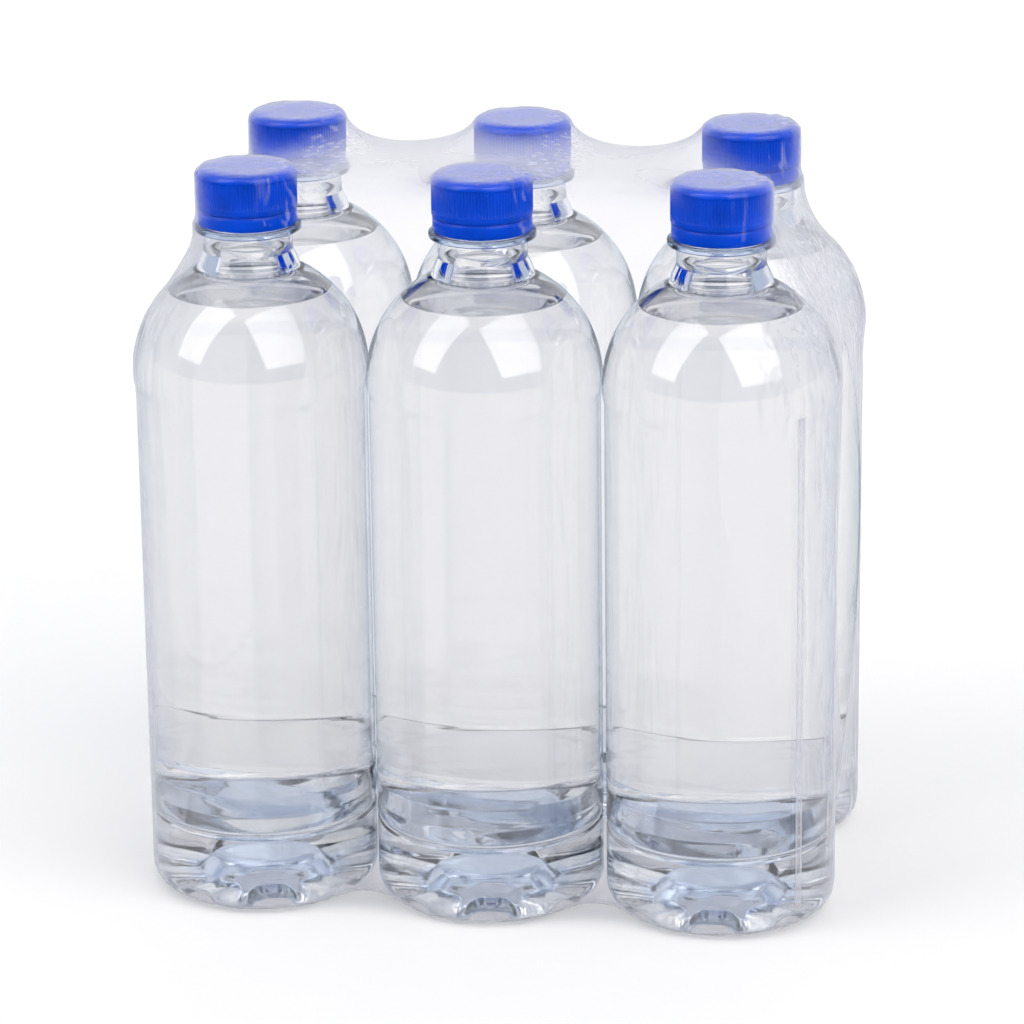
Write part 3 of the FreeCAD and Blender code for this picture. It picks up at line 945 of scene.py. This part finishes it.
def mark_gathers_and_highlights(bm, axes):
    """Notes where heat gathered the film, milky there and with painted highlights along its folds:
    round the pack's ends, its shoulders and the right side of its caps.
    """
    gather_and_highlight = bm.verts.layers.float.new("gather_and_highlight")
    for v in bm.verts:
        near = min(axes, key=lambda a: (v.co.x - a[0]) ** 2 + (v.co.y - a[1]) ** 2)
        if v.co.z > WEB:
            # Over the web only the right side of each cap, as painted highlights on the folds there
            aside = (v.co.x - near[0]) / CAP_RADIUS
            v[gather_and_highlight] = 0.6 * ramp(aside, 0.35, 0.65) * (aside < 1.6)
            continue
        if abs(near[0]) < MM:
            continue
        outward = (v.co.x - near[0]) * math.copysign(1, near[0]) / BOTTLE_RADIUS
        end = ramp(outward, 0.7, 0.95)
        shoulder = ramp(v.co.z, 135 * MM, 165 * MM) * ramp(outward, 0.35, 0.65)
        # The right end takes the full painted highlight, the left end about a third
        v[gather_and_highlight] = max(end, shoulder) * (1.0 if near[0] > 0 else 0.35)


def weld_seam(bm, film):
    """Lays the sleeve's welded seam, a narrow doubled strip, up the front right bottle."""
    seam = bm.verts.layers.float.new("seam")
    axis = stand("front_right")
    radius = BOTTLE_RADIUS + film.clearance + 2.5 * film.wall
    heading = film.seam_heading - math.pi / 2 - film.seam_width / 2 / radius
    foot = Vector((radius * math.cos(heading), radius * math.sin(heading), film.seam_low))
    rise = Vector((0, 0, (film.seam_high - film.seam_low) / 48))
    column = [bm.verts.new(axis + foot + rise * i) for i in range(49)]
    edges = [bm.edges.new(pair) for pair in zip(column, column[1:])]
    for v in column:
        v[seam] = SEAM_MILK[0][1]
    for (last, _), (across, milk) in zip(SEAM_MILK, SEAM_MILK[1:]):
        grown = bmesh.ops.extrude_edge_only(bm, edges=edges)["geom"]
        column = [part for part in grown if isinstance(part, bmesh.types.BMVert)]
        edges = [part for part in grown if isinstance(part, bmesh.types.BMEdge)]
        edges = [e for e in edges if all(v in column for v in e.verts)]
        spin = Matrix.Rotation(film.seam_width * (across - last) / radius, 3, "Z")
        bmesh.ops.rotate(bm, cent=axis, matrix=spin, verts=column)
        for v in column:
            v[seam] = milk


def wrap_film(film, sizes, cap):
    """The whole sleeve as one thin sheet, drawn tight over the capped bottles."""
    axes = np.array([stand(p)[:2] for p in PLACES])
    outline = tight_outline(sizes, cap)
    room = BOTTLE_RADIUS + film.clearance
    bm = film_box(film, Vector((axes[:, 0].max() + room, axes[:, 1].max() + room)))
    shrink(bm, axes, outline, film.clearance, film.rounds, film.sag)
    fine = [
        e
        for e in bm.edges
        if any(f.calc_center_median().z > film.fine_above for f in e.link_faces)
    ]
    bmesh.ops.subdivide_edges(bm, edges=fine, cuts=1, use_grid_fill=True)
    shrink(bm, axes, outline, film.clearance, film.rounds // 15, film.sag / 4)
    crease(bm, axes, film.fold)
    mark_gathers_and_highlights(bm, axes)
    weld_seam(bm, film)
    return bm


# ------------------------------------------------------------------ stage


def lay_floor(stage):
    """White paper, much wider than the view."""
    bm = bmesh.new()
    bmesh.ops.create_grid(bm, x_segments=2, y_segments=2, size=stage.floor)
    mesh = bpy.data.meshes.new("floor")
    bm.to_mesh(mesh)
    bm.free()
    material, tree = new_material("Matt white paper")
    place = add_node(tree, "ShaderNodeTexCoord")
    # Paper tooth of about 0.5 mm
    tooth = add_node(
        tree,
        "ShaderNodeTexNoise",
        [("Vector", place.outputs["Object"])],
        Scale=1 / (0.5 * MM),
        Detail=2.0,
    )
    bump = add_node(
        tree,
        "ShaderNodeBump",
        [("Height", tooth.outputs["Fac"])],
        Strength=0.05,
        Distance=0.05 * MM,
    )
    sheet = add_node(
        tree, "ShaderNodeBsdfDiffuse", [("Normal", bump.outputs[0])], Color=(*stage.paper, 1)
    )
    add_node(tree, "ShaderNodeOutputMaterial", [("Surface", sheet.outputs[0])])
    mesh.materials.append(material)
    floor = bpy.data.objects.new("floor", mesh)
    bpy.context.collection.objects.link(floor)


def softbox_mask(tree, direction, heading, elevation, half_wide, half_high):
    """One inside a softbox as seen from the pack, and zero outside, with a narrow soft rim."""
    level = math.cos(elevation)
    back = Vector(
        (math.cos(heading) * level, math.sin(heading) * level, math.sin(elevation))
    )
    aside = Vector((-math.sin(heading), math.cos(heading), 0))
    ahead, across, upward = (
        add_node(
            tree, "ShaderNodeVectorMath", [(0, direction), (1, axis)], operation="DOT_PRODUCT"
        ).outputs["Value"]
        for axis in (back, aside, back.cross(aside))
    )
    mask = add_node(tree, "ShaderNodeMath", [(0, ahead), (1, 0.0)], operation="GREATER_THAN")
    for offset, half in ((across, half_wide), (upward, half_high)):
        ratio = add_node(tree, "ShaderNodeMath", [(0, offset), (1, ahead)], operation="DIVIDE")
        size = add_node(tree, "ShaderNodeMath", [(0, ratio.outputs[0])], operation="ABSOLUTE")
        inside = add_node(
            tree,
            "ShaderNodeMapRange",
            [("Value", size.outputs[0])],
            interpolation_type="SMOOTHSTEP",
            From_Min=0.92 * math.tan(half),
            From_Max=1.08 * math.tan(half),
            To_Min=1.0,
            To_Max=0.0,
        )
        mask = add_node(
            tree,
            "ShaderNodeMath",
            [(0, mask.outputs[0]), (1, inside.outputs[0])],
            operation="MULTIPLY",
        )
    return mask.outputs[0]


def light_studio(stage):
    """White backdrop for the camera, and a soft studio for what the pack is lit by and reflects."""
    world = bpy.data.worlds.new("studio")
    bpy.context.scene.world = world
    world.use_nodes = True
    # The studio is soft all round, so light finds it without being aimed at it
    world.cycles.sampling_method = "NONE"
    tree = world.node_tree
    tree.nodes.clear()
    place = add_node(tree, "ShaderNodeTexCoord")
    direction = place.outputs["Generated"]
    height = add_node(tree, "ShaderNodeSeparateXYZ", [(0, direction)]).outputs["Z"]
    # From the dark side behind the camera, past the side walls, to the white sheet
    away = (-math.sin(stage.azimuth), math.cos(stage.azimuth), 0)
    behind = add_node(
        tree, "ShaderNodeVectorMath", [(0, direction), (1, away)], operation="DOT_PRODUCT"
    )
    facing = add_node(
        tree,
        "ShaderNodeMapRange",
        [("Value", behind.outputs["Value"])],
        From_Min=-1.0,
        From_Max=1.0,
    )
    walls = add_node(tree, "ShaderNodeValToRGB", [("Fac", facing.outputs[0])])
    stops = walls.color_ramp.elements
    for stop, position, paint in zip(stops, (0.2, 0.45), (stage.dark, stage.ring)):
        stop.position = position
        stop.color = (*paint, 1)
    # The sheet is behind the pack and ends half way up
    low = add_node(
        tree,
        "ShaderNodeMapRange",
        [("Value", height)],
        interpolation_type="SMOOTHSTEP",
        From_Min=0.5,
        From_Max=0.75,
        To_Min=1.0,
        To_Max=0.0,
    )
    wide = add_node(
        tree,
        "ShaderNodeMapRange",
        [("Value", behind.outputs["Value"])],
        interpolation_type="SMOOTHSTEP",
        From_Min=0.45,
        From_Max=0.75,
    )
    sheet = add_node(
        tree,
        "ShaderNodeMath",
        [(0, low.outputs[0]), (1, wide.outputs[0])],
        operation="MULTIPLY",
    )
    overhead = add_node(
        tree,
        "ShaderNodeMapRange",
        [("Value", height)],
        interpolation_type="SMOOTHSTEP",
        From_Min=0.7,
        From_Max=0.95,
    )
    layers = [(sheet.outputs[0], stage.backdrop), (overhead.outputs[0], stage.ceiling)]
    for turn_right, half_wide in SOFTBOXES:
        heading = stage.azimuth + math.radians(turn_right - 90)
        mask = softbox_mask(
            tree,
            direction,
            heading,
            stage.box_elevation,
            math.radians(half_wide),
            stage.box_half_high,
        )
        layers.append((mask, stage.softbox))
    lit = walls.outputs[0]
    for mask, level in layers:
        layer = add_node(
            tree,
            "ShaderNodeMix",
            [("Factor", mask), (6, lit), (7, grey(level))],
            data_type="RGBA",
        )
        lit = layer.outputs[2]
    studio = add_node(tree, "ShaderNodeBackground", [("Color", lit)], Strength=1.0)
    white = add_node(tree, "ShaderNodeBackground", Color=grey(1.0), Strength=1.0)
    path = add_node(tree, "ShaderNodeLightPath")
    mix = add_node(
        tree,
        "ShaderNodeMixShader",
        [(0, path.outputs["Is Camera Ray"]), (1, studio.outputs[0]), (2, white.outputs[0])],
    )
    add_node(tree, "ShaderNodeOutputWorld", [("Surface", mix.outputs[0])])


def set_camera(stage):
    """The camera on its stand."""
    a, e, r = stage.azimuth, stage.elevation, stage.roll
    back = Vector((math.sin(a) * math.cos(e), -math.cos(a) * math.cos(e), math.sin(e)))
    level = Vector((math.cos(a), math.sin(a), 0))
    upright = back.cross(level)
    right = math.cos(r) * level + math.sin(r) * upright
    up = math.cos(r) * upright - math.sin(r) * level
    data = bpy.data.cameras.new("camera")
    data.lens = stage.lens
    data.sensor_width = 36.0
    data.shift_x = stage.shift_x
    data.shift_y = stage.shift_y
    data.clip_end = 50.0
    camera = bpy.data.objects.new("camera", data)
    camera.matrix_world = Matrix.Translation(
        Vector((0, 0, stage.aim)) + back * stage.distance
    ) @ Matrix((right, up, back)).transposed().to_4x4()
    bpy.context.collection.objects.link(camera)
    bpy.context.scene.camera = camera


# ------------------------------------------------------------------ operators


class WATERPACK_OT_bottles(bpy.types.Operator):
    """Blow the six bottles"""

    bl_idname = "water_pack.bottles"
    bl_label = "Blow bottles"

    def execute(self, context):
        sizes = context.scene.water_pack_bottles
        first = blow_bottle(sizes)
        stand_six(first, "bottle_shell", "bottle", make_pet(sizes))
        return {"FINISHED"}


class WATERPACK_OT_water(bpy.types.Operator):
    """Fill the six bottles"""

    bl_idname = "water_pack.water"
    bl_label = "Fill with water"

    def execute(self, context):
        water = context.scene.water_pack_water
        first = pour_water(context.scene.water_pack_bottles, water)
        stand_six(first, "water_body", "water", make_water_material(water))
        return {"FINISHED"}


class WATERPACK_OT_caps(bpy.types.Operator):
    """Mould the six screw caps"""

    bl_idname = "water_pack.caps"
    bl_label = "Mould caps"

    def execute(self, context):
        cap = context.scene.water_pack_caps
        first = mould_cap(cap)
        stand_six(first, "screw_cap", "cap", make_cap_material(cap), CAP_BASE)
        return {"FINISHED"}


class WATERPACK_OT_film(bpy.types.Operator):
    """Shrink the film sleeve round the pack"""

    bl_idname = "water_pack.film"
    bl_label = "Shrink film"

    def execute(self, context):
        scene = context.scene
        film = scene.water_pack_film
        bm = wrap_film(film, scene.water_pack_bottles, scene.water_pack_caps)
        material = make_film_material(film)
        piece = finish_piece("film_sleeve", bm, material, ["shrink_film"])
        wall = piece.modifiers.new("Wall", "SOLIDIFY")
        wall.thickness = film.wall
        wall.offset = 0.0
        return {"FINISHED"}


class WATERPACK_OT_stage(bpy.types.Operator):
    """Set the floor, the studio light and the camera"""

    bl_idname = "water_pack.stage"
    bl_label = "Set stage"

    def execute(self, context):
        scene = context.scene
        stage = scene.water_pack_stage
        lay_floor(stage)
        light_studio(stage)
        set_camera(stage)
        scene.view_settings.view_transform = "Standard"
        # Light goes through up to a dozen clear walls one behind another
        scene.cycles.max_bounces = 24
        scene.cycles.transmission_bounces = 24
        scene.cycles.glossy_bounces = 6
        scene.cycles.diffuse_bounces = 2
        scene.cycles.transparent_max_bounces = 32
        return {"FINISHED"}


class WATERPACK_PT_panel(bpy.types.Panel):
    """Lists the pieces of the pack"""

    bl_label = "Water Pack"
    bl_idname = "WATERPACK_PT_panel"
    bl_space_type = "VIEW_3D"
    bl_region_type = "UI"
    bl_category = "Water Pack"

    def draw(self, context):
        for group, operator in STEPS:
            box = self.layout.box()
            settings = getattr(context.scene, group)
            for name in settings.__annotations__:
                box.prop(settings, name)
            box.operator(operator)


GROUPS = {
    "water_pack_bottles": BottleSettings,
    "water_pack_water": WaterSettings,
    "water_pack_caps": CapSettings,
    "water_pack_film": FilmSettings,
    "water_pack_stage": StageSettings,
}
OPERATORS = (
    WATERPACK_OT_bottles,
    WATERPACK_OT_water,
    WATERPACK_OT_caps,
    WATERPACK_OT_film,
    WATERPACK_OT_stage,
)
STEPS = [(group, made.bl_idname) for group, made in zip(GROUPS, OPERATORS)]
CLASSES = (*GROUPS.values(), *OPERATORS, WATERPACK_PT_panel)


def register():
    """Registers the classes and hangs the settings on the scene."""
    for made in CLASSES:
        bpy.utils.register_class(made)
    for name, group in GROUPS.items():
        setattr(bpy.types.Scene, name, PointerProperty(type=group))


def unregister():
    """Takes the settings and classes away again."""
    for name in GROUPS:
        delattr(bpy.types.Scene, name)
    for made in reversed(CLASSES):
        bpy.utils.unregister_class(made)


def main():
    """Builds the pack and the stage."""
    register()
    bpy.ops.water_pack.bottles()
    bpy.ops.water_pack.water()
    bpy.ops.water_pack.caps()
    bpy.ops.water_pack.film()
    bpy.ops.water_pack.stage()


if __name__ == "__main__":
    main()
